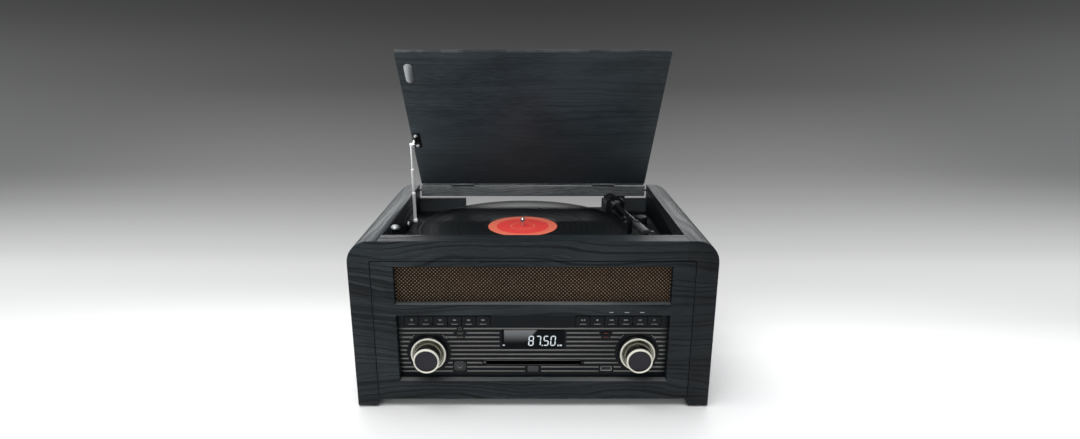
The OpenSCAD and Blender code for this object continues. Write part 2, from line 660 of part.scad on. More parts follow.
side_left();
side_right();
top_rail();
rear_strip();
back_board();
bottom_board();
front_panel();
deck_tray();
grille_cloth();
speakers();
bezel();
stripe_trim();
front_windows();
slot_trim();
cd_mechanism();
front_sockets();
knob_dishes();
control_board();
jack_plate();
turntable_motor();
drive_belt();
spindle_bearing();
arm_base();
arm_rest();
lid_rest();
stay_wall_bracket();
hinge_leaves_fixed();
foot_pads();
fasteners();
lid_board();
lid_plate();
hinge_leaves_lid();
stay_lid_bracket();
stay_tube();
stay_middle();
stay_rod();
platter();
record();
motor_pulley();
arm_yoke();
arm_tube();
counterweight();
headshell();
lift_lever();
speed_knob();
volume_knob();
tuning_knob();
eject_button();
key_left_1();
key_left_2();
key_left_3();
key_left_4();
key_left_5();
key_left_6();
key_right_1();
key_right_2();
key_right_3();
key_right_4();
key_right_5();
key_right_6();
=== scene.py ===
import json
import math

import bmesh
import bpy
from mathutils import Matrix, Vector


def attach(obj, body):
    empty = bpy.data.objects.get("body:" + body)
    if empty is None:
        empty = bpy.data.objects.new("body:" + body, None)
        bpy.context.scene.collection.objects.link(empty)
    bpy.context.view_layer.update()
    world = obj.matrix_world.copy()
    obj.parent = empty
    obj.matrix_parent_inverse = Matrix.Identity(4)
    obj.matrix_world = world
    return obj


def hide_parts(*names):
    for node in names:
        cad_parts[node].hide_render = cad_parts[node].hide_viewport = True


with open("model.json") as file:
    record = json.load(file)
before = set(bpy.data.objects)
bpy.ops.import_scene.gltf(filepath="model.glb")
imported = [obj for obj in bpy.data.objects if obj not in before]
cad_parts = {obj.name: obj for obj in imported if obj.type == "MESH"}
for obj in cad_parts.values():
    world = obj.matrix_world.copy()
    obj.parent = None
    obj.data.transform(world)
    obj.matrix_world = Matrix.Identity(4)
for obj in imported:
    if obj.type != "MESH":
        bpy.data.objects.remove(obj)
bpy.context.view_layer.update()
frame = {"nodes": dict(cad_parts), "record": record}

FY = -0.1514          # the cabinet's front face in the frame
mm = 0.001
nodes = frame["nodes"]

# ------------------------------------------------------------------ camera
cam_data = bpy.data.cameras.new("camera")
cam_data.lens = 21.333
cam_data.sensor_width = 36
cam_data.sensor_fit = "HORIZONTAL"
cam_data.shift_x = 0.00648
cam_data.clip_start = 0.02
cam_data.clip_end = 60
cam = bpy.data.objects.new("camera", cam_data)
bpy.context.scene.collection.objects.link(cam)
cam.location = (0, -0.7266 + FY, 0.4598)
cam.rotation_euler = (math.radians(73.97), 0, 0)
bpy.context.scene.camera = cam
bpy.context.scene.view_settings.view_transform = "Standard"


# ------------------------------------------------------------------ node building
class Mat:
    """A material and short ways to wire its nodes."""

    def __init__(self, name, color=(0.5, 0.5, 0.5), rough=0.5, metal=0.0, **sockets):
        self.m = bpy.data.materials.new(name)
        self.m.use_nodes = True
        self.t = self.m.node_tree
        self.b = self.t.nodes["Principled BSDF"]
        self.b.inputs["Base Color"].default_value = (*color, 1)
        self.b.inputs["Roughness"].default_value = rough
        self.b.inputs["Metallic"].default_value = metal
        for k, v in sockets.items():
            self.b.inputs[k.replace("_", " ")].default_value = v
        self.m.diffuse_color = (*color, 1)

    def put(self, sock, v):
        if hasattr(v, "is_output"):
            self.t.links.new(v, sock)
        elif isinstance(v, (tuple, list)) and len(v) == 3 and sock.type == "RGBA":
            sock.default_value = (*v, 1)
        else:
            sock.default_value = v

    def coord(self, out="Object"):
        return self.t.nodes.new("ShaderNodeTexCoord").outputs[out]

    def xyz(self, vec):
        n = self.t.nodes.new("ShaderNodeSeparateXYZ")
        self.put(n.inputs[0], vec)
        return n.outputs

    def vec(self, x, y, z=0.0):
        n = self.t.nodes.new("ShaderNodeCombineXYZ")
        for s, v in zip(n.inputs, (x, y, z)):
            self.put(s, v)
        return n.outputs[0]

    def math(self, op, a, b=0.0, c=0.0, clamp=False):
        n = self.t.nodes.new("ShaderNodeMath")
        n.operation = op
        n.use_clamp = clamp
        for s, v in zip(n.inputs, (a, b, c)):
            self.put(s, v)
        return n.outputs[0]

    def dot(self, a, b):
        n = self.t.nodes.new("ShaderNodeVectorMath")
        n.operation = "DOT_PRODUCT"
        self.put(n.inputs[0], a)
        self.put(n.inputs[1], b)
        return n.outputs["Value"]

    def noise(self, vec, scale=1.0, detail=2.0, rough=0.5, dist=0.0):
        n = self.t.nodes.new("ShaderNodeTexNoise")
        n.inputs["Scale"].default_value = scale
        n.inputs["Detail"].default_value = detail
        n.inputs["Roughness"].default_value = rough
        n.inputs["Distortion"].default_value = dist
        self.put(n.inputs["Vector"], vec)
        return n.outputs[0]

    def ramp(self, f, lo, hi, a=0.0, b=1.0, smooth=True):
        n = self.t.nodes.new("ShaderNodeMapRange")
        if smooth:
            n.interpolation_type = "SMOOTHSTEP"
        self.put(n.inputs["Value"], f)
        for k, v in (("From Min", lo), ("From Max", hi), ("To Min", a), ("To Max", b)):
            self.put(n.inputs[k], v)
        return n.outputs[0]

    def mix(self, f, a, b):
        n = self.t.nodes.new("ShaderNodeMix")
        n.data_type = "RGBA"
        self.put(n.inputs[0], f)
        self.put(n.inputs[6], a)
        self.put(n.inputs[7], b)
        return n.outputs[2]

    def color(self, v):
        self.put(self.b.inputs["Base Color"], v)

    def rough(self, v):
        self.put(self.b.inputs["Roughness"], v)

    def bump(self, h, strength=0.3, dist=0.0002):
        n = self.t.nodes.new("ShaderNodeBump")
        n.inputs["Strength"].default_value = strength
        n.inputs["Distance"].default_value = dist
        self.put(n.inputs["Height"], h)
        self.put(self.b.inputs["Normal"], n.outputs[0])


def veneer(name, mapping, seed, light=1.0, streak=0.85, sway=1.0, painted_foot_light=0.0, warm=0.0):
    """Open-grain ash foil stained slate black. mapping gives the grain's own
    flat coordinates: along the grain and across it, in metres. Every front
    face shares one mapping, so the figure runs on from piece to piece."""
    w = Mat(name, (0.04, 0.05, 0.055), 0.5)
    p = w.coord()
    mul = lambda a, k: w.math("MULTIPLY", a, k)
    add = lambda a, b: w.math("ADD", a, b)
    if mapping == "side":
        s = w.xyz(p)
        nrm = w.xyz(w.coord("Normal"))
        front = w.ramp(w.math("ABSOLUTE", nrm[1]), 0.6, 0.8)
        wrap = w.math("SUBTRACT", s[2], w.math("ABSOLUTE", s[0]))
        pick = lambda a, b: add(mul(a, w.math("SUBTRACT", 1.0, front)), mul(b, front))
        u, v, seed = pick(s[1], s[0]), pick(wrap, s[2]), pick(seed, 4.0)
    else:
        u, v = w.dot(p, mapping[0]), add(w.dot(p, mapping[1]), -mapping[1][1] * FY)
    # wide cathedral sweeps, then smaller ripples
    big = mul(w.math("SUBTRACT", w.noise(w.vec(mul(u, 5.0), mul(v, 11.0), seed), detail=1.0), 0.5), sway)
    small = w.math("SUBTRACT", w.noise(w.vec(mul(u, 18.0), mul(v, 50.0), add(seed, 7.3)), detail=2.0), 0.5)
    vw = add(v, add(mul(big, 0.055), mul(small, 0.008)))
    ring = w.noise(w.vec(mul(u, 2.6), mul(vw, 400.0), add(seed, 1.7)), detail=2.0, rough=0.60)
    late = w.ramp(ring, 0.44, 0.62)
    fine = w.noise(w.vec(mul(u, 60.0), mul(vw, 1900.0), add(seed, 3.1)), detail=2.0)
    pore = w.ramp(w.noise(w.vec(mul(u, 75.0), mul(vw, 2600.0), add(seed, 5.9)), detail=1.0), 0.58, 0.70)
    pore = mul(pore, add(mul(late, 0.75), 0.25))
    cloud = w.noise(w.vec(mul(u, 7.0), mul(v, 16.0), add(seed, 11.0)), detail=3.0)
    # painted light: light scales the whole veneer colour, so lit and shaded copies of one veneer come from this one
    # recipe
    k = light
    tone = lambda r, g, b: (r * k * (1 + 0.34 * warm), g * k * (1 + 0.06 * warm), b * k * (1 - 0.10 * warm))
    c = w.mix(w.ramp(fine, 0.34, 0.66), tone(0.0086, 0.0120, 0.0146), tone(0.0218, 0.0288, 0.0334))
    c = w.mix(w.ramp(cloud, 0.38, 0.68, 0.0, 0.62), c, tone(0.0310, 0.0400, 0.0456))
    # the top rails show less of the dark grain than the fronts do, and their colour is painted lighter: a painted
    # highlight from the lamps above
    if mapping == "side":
        c = w.mix(mul(w.math("SUBTRACT", 1.0, front), 0.66), c, (0.078 * k, 0.089 * k, 0.096 * k))
        strong = mul(late, add(mul(front, streak - 0.24), 0.24))
    else:
        strong = mul(late, streak)
    c = w.mix(strong, c, (0.0028 * k, 0.0040 * k, 0.0050 * k))
    c = w.mix(mul(pore, streak), c, (0.0015, 0.0020, 0.0026))
    at = w.xyz(p)
    if painted_foot_light:
        # painted light and shade: the foot of the open lid's underside is painted paler than its top, and its top and
        # its right end are painted darker
        c = w.mix(w.ramp(at[2], 0.235, 0.345, painted_foot_light, 0.0), c, (0.120, 0.142, 0.158))
        c = w.mix(w.ramp(at[2], 0.330, 0.420, 0.0, 0.30), c, (0.004, 0.005, 0.006))
        c = w.mix(w.ramp(at[0], 0.030, 0.200, 0.0, 0.30), c, (0.0015, 0.0022, 0.0030))
    else:
        # painted shade: the veneer is painted darker towards its right end
        c = w.mix(w.ramp(at[0], -0.02, 0.215, 0.0, 0.34), c, (0.0015, 0.0022, 0.0030))
    w.color(c)
    w.rough(w.ramp(add(mul(fine, 0.6), mul(late, 0.4)), 0.2, 0.9, 0.40, 0.60))
    h = w.math("SUBTRACT", add(mul(fine, 0.25), 0.6), add(mul(pore, 0.7), mul(late, 0.35)))
    w.bump(h, 0.55, 0.00030)
    w.b.inputs["Specular IOR Level"].default_value = 0.16
    return w.m


LA = math.radians(53)
M = {}
M["wood_side"] = veneer("veneer_side", "side", 2.0)
# painted shade: the right side is a darker copy (0.74) of the side veneer
M["wood_right"] = veneer("veneer_side_right", "side", 5.0, 0.74)
M["wood_front"] = veneer("veneer_front", ((1, 0, 0), (0, 0.35, 1)), 4.0)
M["wood_rail"] = veneer("veneer_rail", ((1, 0, 0), (0, 0.9, 1)), 4.0)
# painted light: the rear strip's veneer is painted 9.4 times brighter than the front's
M["wood_strip"] = veneer("veneer_strip", ((1, 0, 0), (0, 0.9, 1)), 15.0, 9.4, 0.35, warm=0.8)
# painted highlight: a copy of the veneer painted 5.6 times brighter, for the recess sills
M["wood_edge"] = veneer("veneer_edge", ((1, 0, 0), (0, 0.9, 1)), 4.0, 5.6, 0.4, warm=1.0)
M["wood_lid"] = veneer("veneer_lid", ((1, 0, 0), (0, -math.cos(LA), math.sin(LA))), 21.0, 1.0)
# painted light: the lid's underside is a copy of the lid veneer painted 2.3 times brighter, with a painted paler foot
M["wood_lid_inner"] = veneer("veneer_lid_inner", ((1, 0, 0), (0, -math.cos(LA), math.sin(LA))), 21.0, 2.3, 0.30, 0.5, 0.42)


def speckle(name, col, rough=0.55, amount=0.25, size=1800.0, depth=0.00006, spec=0.3, **k):
    """Moulded plastic with a fine spark-eroded skin."""
    w = Mat(name, col, rough, **k)
    p = w.coord()
    n = w.noise(p, size, 2.0)
    big = w.noise(p, 18.0, 3.0)
    w.color(w.mix(w.ramp(big, 0.3, 0.7), tuple(c * (1 - amount * 0.4) for c in col), tuple(min(1, c * (1 + amount * 0.4)) for c in col)))
    w.b.inputs["Specular IOR Level"].default_value = spec
    w.rough(w.ramp(n, 0.3, 0.7, rough - 0.06, rough + 0.08))
    w.bump(n, 0.35, depth)
    return w.m


def gloss(name, col, rough=0.12, scratch=0.05, spec=0.2, **k):
    """Polished plastic: faint wipe marks in its sheen and a trace of dust."""
    w = Mat(name, col, rough, **k)
    w.b.inputs["Specular IOR Level"].default_value = spec
    p = w.coord()
    s = w.xyz(p)
    wipe = w.noise(w.vec(w.math("MULTIPLY", s[0], 30.0), w.math("MULTIPLY", s[1], 200.0), w.math("MULTIPLY", s[2], 200.0)), 1.0, 3.0)
    dust = w.ramp(w.noise(p, 900.0, 2.0), 0.66, 0.78, 0.0, 0.25)
    w.color(w.mix(dust, col, tuple(min(1.0, c * 1.5 + 0.02) for c in col)))
    w.rough(w.ramp(wipe, 0.3, 0.75, rough, rough + scratch))
    w.bump(w.noise(p, 60.0, 1.0), 0.04, 0.0002)
    return w.m


def metal(name, col, rough=0.25, axis=0, fine=2200.0, coarse=25.0, depth=0.00003, **k):
    """Metal with drawn lines along one axis."""
    w = Mat(name, col, rough, 1.0, **k)
    s = w.xyz(w.coord())
    sc = [fine, fine, fine]
    sc[axis] = coarse
    line = w.noise(w.vec(*[w.math("MULTIPLY", s[i], sc[i]) for i in range(3)]), 1.0, 2.0)
    spot = w.noise(w.coord(), 30.0, 3.0)
    w.color(w.mix(w.ramp(spot, 0.35, 0.7, 0.0, 0.35), col, tuple(c * 0.72 for c in col)))
    w.rough(w.ramp(line, 0.3, 0.7, rough - 0.05, rough + 0.08))
    w.bump(line, 0.25, depth)
    return w.m


M["deck"] = speckle("deck_plastic", (0.0055, 0.0075, 0.0095), 0.48, spec=0.12)
M["deck_dark"] = speckle("arm_plastic", (0.009, 0.011, 0.012), 0.38)
M["bezel"] = gloss("bezel_black", (0.0055, 0.0080, 0.0100), 0.22, spec=0.11)
M["keys"] = gloss("key_black", (0.0070, 0.0092, 0.0115), 0.26, 0.08, spec=0.12)
M["dish"] = gloss("dish_black", (0.006, 0.007, 0.008), 0.25, spec=0.15)
M["stripe"] = metal("stripe_satin", (0.175, 0.172, 0.164), 0.44, 0, 900.0, 12.0)
M["cream"] = gloss("knob_cream", (0.80, 0.78, 0.68), 0.24, 0.08, spec=0.5)
M["knob_metal"] = metal("knob_metal", (0.20, 0.20, 0.195), 0.30, 1, 160.0, 20.0, 0.00001)
M["knob_side"] = metal("knob_side", (0.25, 0.25, 0.21), 0.13, 1, 160.0, 12.0, 0.00001)
M["knob_face"] = gloss("knob_face", (0.014, 0.014, 0.020), 0.12, spec=0.25)
M["chrome"] = metal("bright_chrome", (0.80, 0.80, 0.81), 0.14, 2, 200.0, 60.0, 0.00001)
M["nickel"] = metal("satin_nickel", (0.88, 0.89, 0.90), 0.42, 2, 400.0, 60.0, 0.00001)
M["steel"] = metal("bright_steel", (0.58, 0.58, 0.59), 0.28, 0)
M["zinc"] = metal("zinc_sheet", (0.42, 0.42, 0.43), 0.40, 0, 260.0, 200.0)
M["alloy"] = metal("arm_alloy", (0.17, 0.175, 0.185), 0.30, 1, 500.0, 20.0, 0.00001)
M["dark_steel"] = metal("dark_steel", (0.045, 0.045, 0.047), 0.40, 0, 500.0)
M["hinge"] = metal("hinge_bronze", (0.34, 0.35, 0.35), 0.5, 0, 500.0)
M["hinge"].node_tree.nodes["Principled BSDF"].inputs["Metallic"].default_value = 0.3
M["plate"] = metal("plate_silver", (0.40, 0.42, 0.43), 0.34, 0, 1600.0, 25.0)
M["brass"] = metal("brass", (0.62, 0.46, 0.20), 0.28, 0)
M["head"] = speckle("headshell_grey", (0.040, 0.044, 0.049), 0.44)
M["stay"] = metal("stay_zinc", (0.95, 0.96, 0.96), 0.27, 2, 400.0, 60.0, 0.00001)
_b = M["stay"].node_tree.nodes["Principled BSDF"]
_b.inputs["Metallic"].default_value = 0.45
# painted highlight: the stay is given a faint glow, though it is no lamp
_b.inputs["Emission Color"].default_value = (0.86, 0.90, 0.92, 1)
_b.inputs["Emission Strength"].default_value = 0.22
M["rest_cap"] = metal("rest_cap", (0.34, 0.36, 0.37), 0.44, 2, 400.0, 60.0, 0.00001)
M["rubber"] = speckle("belt_rubber", (0.012, 0.012, 0.012), 0.7)
M["board"] = speckle("board_green", (0.015, 0.09, 0.04), 0.45)
M["black_board"] = speckle("back_fibreboard", (0.036, 0.043, 0.048), 0.62, 0.5, 700.0, 0.00012)
M["board_edge"] = speckle("fibreboard_edge", (0.007, 0.008, 0.009), 0.75, 0.5, 700.0, 0.00012, spec=0.1)
M["jack"] = speckle("jack_plastic", (0.018, 0.018, 0.019), 0.45)
M["eject"] = speckle("eject_grey", (0.034, 0.036, 0.038), 0.34)
M["socket"] = speckle("socket_surround", (0.012, 0.014, 0.015), 0.40)
M["tongue"] = speckle("socket_tongue", (0.86, 0.87, 0.86), 0.45)
M["slot_felt"] = speckle("slot_felt", (0.085, 0.085, 0.076), 0.85, 0.6, 2600.0, 0.0001)
M["slot_ring"] = speckle("slot_surround", (0.060, 0.061, 0.056), 0.42)
M["jack_ring"] = speckle("jack_surround", (0.030, 0.032, 0.033), 0.40)
M["dull_red"] = speckle("print_dull_red", (0.110, 0.020, 0.020), 0.6)
M["olive_print"] = speckle("print_olive", (0.130, 0.115, 0.095), 0.6)
M["key_print"] = speckle("key_print", (0.38, 0.39, 0.39), 0.6)
M["speaker"] = speckle("speaker_cone", (0.020, 0.020, 0.021), 0.6, 0.4, 600.0, 0.0001)
M["white_print"] = speckle("white_print", (0.62, 0.63, 0.63), 0.6)
M["grey_print"] = speckle("grey_print", (0.30, 0.31, 0.32), 0.6)
M["red_ring"] = gloss("ring_red", (0.55, 0.03, 0.025), 0.3)
M["white_ring"] = gloss("ring_white", (0.70, 0.70, 0.68), 0.3)


def felt(name, col):
    w = Mat(name, col, 0.95)
    n = w.noise(w.coord(), 2500.0, 4.0)
    w.color(w.mix(n, tuple(c * 0.5 for c in col), tuple(c * 1.6 for c in col)))
    w.bump(n, 0.6, 0.0003)
    return w.m


M["felt"] = felt("felt_black", (0.02, 0.02, 0.02))


def woven():
    """Speaker cloth: cream slubs on the diagonal over dark brown threads."""
    w = Mat("grille_weave", (0.2, 0.15, 0.1), 0.85)
    s = w.xyz(w.coord())
    k = 1 / 0.0047
    p = w.math("MULTIPLY", w.math("ADD", s[0], s[2]), k)
    q = w.math("MULTIPLY", w.math("SUBTRACT", s[0], s[2]), k)
    fp, fq = w.math("FLOOR", p), w.math("FLOOR", q)
    cp = w.math("SUBTRACT", w.math("SUBTRACT", p, fp), 0.5)
    cq = w.math("SUBTRACT", w.math("SUBTRACT", q, fq), 0.5)
    # each slub is a rounded cushion of thread, its tone differs from cell to cell
    r2 = w.math("ADD", w.math("MULTIPLY", cp, cp), w.math("MULTIPLY", cq, cq))
    cell = w.noise(w.vec(w.math("MULTIPLY", fp, 3.7), w.math("MULTIPLY", fq, 5.3), 2.0), 1.0, 0.0)
    cushion = w.ramp(w.math("ADD", r2, w.math("MULTIPLY", cell, 0.06)), 0.05, 0.16, 1.0, 0.0)
    twist = w.noise(w.vec(w.math("MULTIPLY", p, 7.0), w.math("MULTIPLY", q, 7.0), 0.0), 1.0, 2.0)
    tint = w.noise(w.coord(), 16.0, 2.0)
    cream = w.mix(w.ramp(cell, 0.35, 0.65), (0.168, 0.108, 0.062), (0.285, 0.215, 0.140))
    cream = w.mix(w.math("MULTIPLY", twist, 0.6), cream, (0.16, 0.11, 0.07))
    brown = w.mix(w.ramp(tint, 0.35, 0.65), (0.018, 0.012, 0.008), (0.036, 0.018, 0.012))
    brown = w.mix(w.ramp(twist, 0.4, 0.7), (0.005, 0.0035, 0.003), brown)
    w.color(w.mix(cushion, brown, cream))
    w.bump(w.math("ADD", cushion, w.math("MULTIPLY", twist, 0.25)), 0.8, 0.0005)
    w.b.inputs["Specular IOR Level"].default_value = 0.15
    return w.m


M["cloth"] = woven()


def vinyl():
    """Record: fine grooves in bands, smooth gaps between tracks, a printed label."""
    cx, cy = -0.015, 0.1675 + FY
    w = Mat("record_vinyl", (0.012, 0.012, 0.013), 0.25)
    s = w.xyz(w.coord())
    dx, dy = w.math("SUBTRACT", s[0], cx), w.math("SUBTRACT", s[1], cy)
    r = w.math("SQRT", w.math("ADD", w.math("MULTIPLY", dx, dx), w.math("MULTIPLY", dy, dy)))
    ang = w.math("ARCTAN2", dy, dx)
    groove = w.math("SINE", w.math("MULTIPLY", r, 2 * math.pi / 0.0007))
    band = w.noise(w.vec(w.math("MULTIPLY", r, 260.0), 0.0, 3.0), 1.0, 2.0)
    gap = w.ramp(w.math("ABSOLUTE", w.math("SINE", w.math("MULTIPLY", r, math.pi / 0.0165))), 0.0, 0.09, 1.0, 0.0)
    label = w.ramp(r, 0.0499, 0.0502, 1.0, 0.0)
    dead = w.ramp(r, 0.0575, 0.0580, 1.0, 0.0)
    smooth = w.math("MAXIMUM", gap, dead)
    inner = w.ramp(r, 0.0372, 0.0384, 1.0, 0.0)
    line = w.ramp(w.math("ABSOLUTE", w.math("SUBTRACT", r, 0.0170)), 0.0004, 0.0008, 1.0, 0.0)
    paper = w.noise(w.coord(), 1400.0, 3.0)
    lab = w.mix(inner, (0.98, 0.215, 0.130), (0.97, 0.062, 0.058))
    lab = w.mix(w.math("MULTIPLY", paper, 0.14), lab, (0.92, 0.30, 0.22))
    lab = w.mix(w.math("MULTIPLY", line, 0.6), lab, (0.85, 0.42, 0.25))
    black = w.mix(band, (0.0050, 0.0066, 0.0080), (0.0110, 0.0135, 0.0150))
    # painted shade: the vinyl is painted darker towards its outer rim
    black = w.mix(w.ramp(r, 0.118, 0.146, 0.0, 0.8), black, (0.0030, 0.0042, 0.0052))
    w.color(w.mix(label, black, lab))
    edge = w.ramp(r, 0.118, 0.146)
    w.put(w.b.inputs["Specular IOR Level"], w.math("SUBTRACT", 0.20, w.math("MULTIPLY", edge, 0.12)))
    sheen = w.math("ADD", w.ramp(band, 0.3, 0.7, 0.36, 0.50), w.math("MULTIPLY", edge, 0.22))
    sheen = w.math("ADD", w.math("MULTIPLY", sheen, w.math("SUBTRACT", 1.0, smooth)), w.math("MULTIPLY", smooth, 0.30))
    sheen = w.math("ADD", w.math("MULTIPLY", sheen, w.math("SUBTRACT", 1.0, label)), w.math("MULTIPLY", label, 0.62))
    w.rough(sheen)
    g = w.math("MULTIPLY", groove, w.math("SUBTRACT", 1.0, w.math("MAXIMUM", smooth, label)))
    w.bump(w.math("ADD", g, w.math("MULTIPLY", w.math("MULTIPLY", paper, label), 0.5)), 0.25, 0.00006)
    return w.m


M["vinyl"] = vinyl()

lens = Mat("display_lens", (0.0035, 0.0045, 0.0050), 0.10)
_p = lens.coord()
_s = lens.xyz(_p)
# painted reflection: a wash of light grey glare in the upper left part of the display, cut off on a slant
_edge = lens.math("SUBTRACT", _s[0], lens.math("MULTIPLY", _s[2], 0.8))
_painted_glare = lens.ramp(_edge, -0.0800, -0.0755, 1.0, 0.0)
_fall = lens.ramp(_s[2], 0.0835, 0.1035, 0.0, 1.0)
_in = lens.ramp(_s[0], -0.0369, -0.0361, 0.0, 1.0)
lens.color(lens.mix(lens.math("MULTIPLY", lens.math("MULTIPLY", _painted_glare, _fall), _in), (0.0030, 0.0042, 0.0048), (0.195, 0.205, 0.21)))
lens.b.inputs["Specular IOR Level"].default_value = 0.05
lens.bump(lens.noise(_p, 40.0, 1.0), 0.02, 0.0002)
M["lens"] = lens.m

glow = Mat("display_digit", (0.75, 0.80, 0.84), 0.4)
glow.b.inputs["Emission Color"].default_value = (0.72, 0.80, 0.86, 1)
glow.b.inputs["Emission Strength"].default_value = 0.45
_n = glow.noise(glow.coord(), 500.0, 1.0)
glow.color(glow.mix(_n, (0.42, 0.46, 0.50), (0.54, 0.58, 0.62)))
M["digit"] = glow.m


# ------------------------------------------------------------------ meshes
def body_of_node(n):
    for b, names in frame["record"]["behaviour"]["bodies"].items():
        if n in names:
            return b


SLOT = {s["node"]: s["material_slot"] for s in frame["record"]["subparts"]}


def new_object(name, mesh, mats, body, smooth=35.0, slot=None):
    o = bpy.data.objects.new(name, mesh)
    bpy.context.scene.collection.objects.link(o)
    if mats is not None:
        mats = mats if isinstance(mats, (list, tuple)) else [mats]
        index = [min(f.material_index, len(mats) - 1) for f in mesh.polygons]
        mesh.materials.clear()
        for m in mats:
            mesh.materials.append(m)
        mesh.polygons.foreach_set("material_index", index)
    for f in mesh.polygons:
        f.use_smooth = True
    if smooth is not None:
        mesh.set_sharp_from_angle(angle=math.radians(smooth))
    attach(o, body)
    return o


def from_bm(name, bm, mats, body, **k):
    bmesh.ops.recalc_face_normals(bm, faces=bm.faces)
    me = bpy.data.meshes.new(name)
    bm.to_mesh(me)
    bm.free()
    return new_object(name, me, mats, body, **k)


def soften(node, width, mat, segs=2, angle=30.0, name=None, skip=None, pick=None):
    """The CAD node's own shape with its edges rounded, shown in its place.
    skip leaves out the edges between two given points, pick gives each face
    its material from its centre."""
    src = nodes[node]
    bm = bmesh.new()
    bm.from_mesh(src.data)
    bmesh.ops.remove_doubles(bm, verts=bm.verts, dist=2e-6)
    bmesh.ops.dissolve_limit(bm, angle_limit=math.radians(0.4), verts=bm.verts, edges=bm.edges)
    weight = bm.edges.layers.float.new("bevel_weight_edge")
    for e in bm.edges:
        on = len(e.link_faces) == 2 and e.calc_face_angle(0.0) > math.radians(angle)
        if on and skip and skip(e.verts[0].co, e.verts[1].co):
            on = False
        e[weight] = 1.0 if on else 0.0
    for f in bm.faces:
        f.material_index = 0
    me = bpy.data.meshes.new((name or node + "_skin") + "_src")
    bm.to_mesh(me)
    bm.free()
    tmp = bpy.data.objects.new("tmp_" + node, me)
    bpy.context.scene.collection.objects.link(tmp)
    mod = tmp.modifiers.new("edge", "BEVEL")
    mod.width = width
    mod.segments = segs
    mod.limit_method = "WEIGHT"
    mod.use_clamp_overlap = True
    mod.miter_outer = "MITER_ARC"
    bpy.context.view_layer.update()
    done = bpy.data.meshes.new_from_object(tmp.evaluated_get(bpy.context.evaluated_depsgraph_get()))
    bpy.data.objects.remove(tmp)
    o = new_object(name or node + "_skin", done, mat, body_of_node(node), smooth=40.0, slot=SLOT[node])
    if pick:
        done.polygons.foreach_set("material_index", [pick(f.center, f.normal) for f in done.polygons])
    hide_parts(node)
    return o


def keep(node, mat):
    """The CAD node stays, with a better material."""
    o = nodes[node]
    if not o.material_slots:
        o.data.materials.append(mat)
    for s in o.material_slots:
        s.material = mat
    return o


def lathe(name, profile, place, mats, body, steps=128, **k):
    """Turns a profile of (radius, height, material of the stretch that follows)."""
    bm = bmesh.new()
    rings = []
    for r, h, *_ in profile:
        if r < 1e-7:
            rings.append([bm.verts.new(place @ Vector((0, 0, h)))])
        else:
            rings.append([bm.verts.new(place @ Vector((r * math.cos(2 * math.pi * i / steps), r * math.sin(2 * math.pi * i / steps), h))) for i in range(steps)])
    for a, b, pr in zip(rings, rings[1:], profile):
        mi = pr[2] if len(pr) > 2 else 0
        for i in range(steps):
            j = (i + 1) % steps
            if len(a) == 1 and len(b) == 1:
                continue
            if len(a) == 1:
                f = bm.faces.new((a[0], b[i], b[j]))
            elif len(b) == 1:
                f = bm.faces.new((a[i], a[j], b[0]))
            else:
                f = bm.faces.new((a[i], a[j], b[j], b[i]))
            f.material_index = mi
    return from_bm(name, bm, mats, body, **k)


def toward(pos, direction):
    """A frame at pos whose Z points along direction."""
    z = Vector(direction).normalized()
    return Matrix.Translation(Vector(pos)) @ z.to_track_quat("Z", "Y").to_matrix().to_4x4()


def P(x, y, z):
    """Cabinet millimetres to the frame's metres."""
    return Vector((x * mm, y * mm + FY, z * mm))


def prism(name, outline, y0, y1, mats, body, bevel=0.0, **k):
    """A flat X-Z outline in millimetres, extruded from y0 to y1, with softened rims."""
    bm = bmesh.new()
    a = [bm.verts.new(P(x, y0, z)) for x, z in outline]
    b = [bm.verts.new(P(x, y1, z)) for x, z in outline]
    bm.faces.new(a)
    bm.faces.new(list(reversed(b)))
    n = len(outline)
    for i in range(n):
        j = (i + 1) % n
        bm.faces.new((a[j], a[i], b[i], b[j]))
    bmesh.ops.recalc_face_normals(bm, faces=bm.faces)
    if bevel:
        rim = [e for e in bm.edges if e.verts[0] in a and e.verts[1] in a]
        bmesh.ops.bevel(bm, geom=rim, offset=bevel * mm, segments=2, affect="EDGES", profile=0.6)
    return from_bm(name, bm, mats, body, **k)


def rounded_rect(x0, x1, z0, z1, r, n=6):
    pts = []
    for cx, cz, a0 in ((x1 - r, z1 - r, 0), (x0 + r, z1 - r, 90), (x0 + r, z0 + r, 180), (x1 - r, z0 + r, 270)):
        for i in range(n + 1):
            a = math.radians(a0 + 90 * i / n)
            pts.append((cx + r * math.cos(a), cz + r * math.sin(a)))
    return pts


# ------------------------------------------------------------------ cabinet
# no rounding where a side and the front rail meet: the joint is flush there
def at_joint(a, b):
    return abs(abs(a.x) - 0.1866) < 2e-4 and abs(abs(b.x) - 0.1866) < 2e-4


soften("side_left", 0.0011, M["wood_side"], 3, 25.0, skip=at_joint)
soften("side_right", 0.0011, M["wood_right"], 3, 25.0, skip=at_joint)
soften("top_rail", 0.0011, M["wood_rail"], 3, skip=at_joint)
# painted highlight: the sills of the two recesses get a veneer copy painted 5.6 times brighter along their rounded edge
soften("front_panel", 0.0010, [M["wood_front"], M["wood_edge"]], 3, 25.0,
       pick=lambda c, n: 1 if n.z > 0.45 and 0.035 < c.z < 0.145 else 0)
# painted light: the rear strip's front faces get the brightened veneer, its top faces the lid's
soften("rear_strip", 0.0008, [M["wood_strip"], M["wood_lid"]], 2, pick=lambda c, n: 1 if n.z > 0.6 else 0)
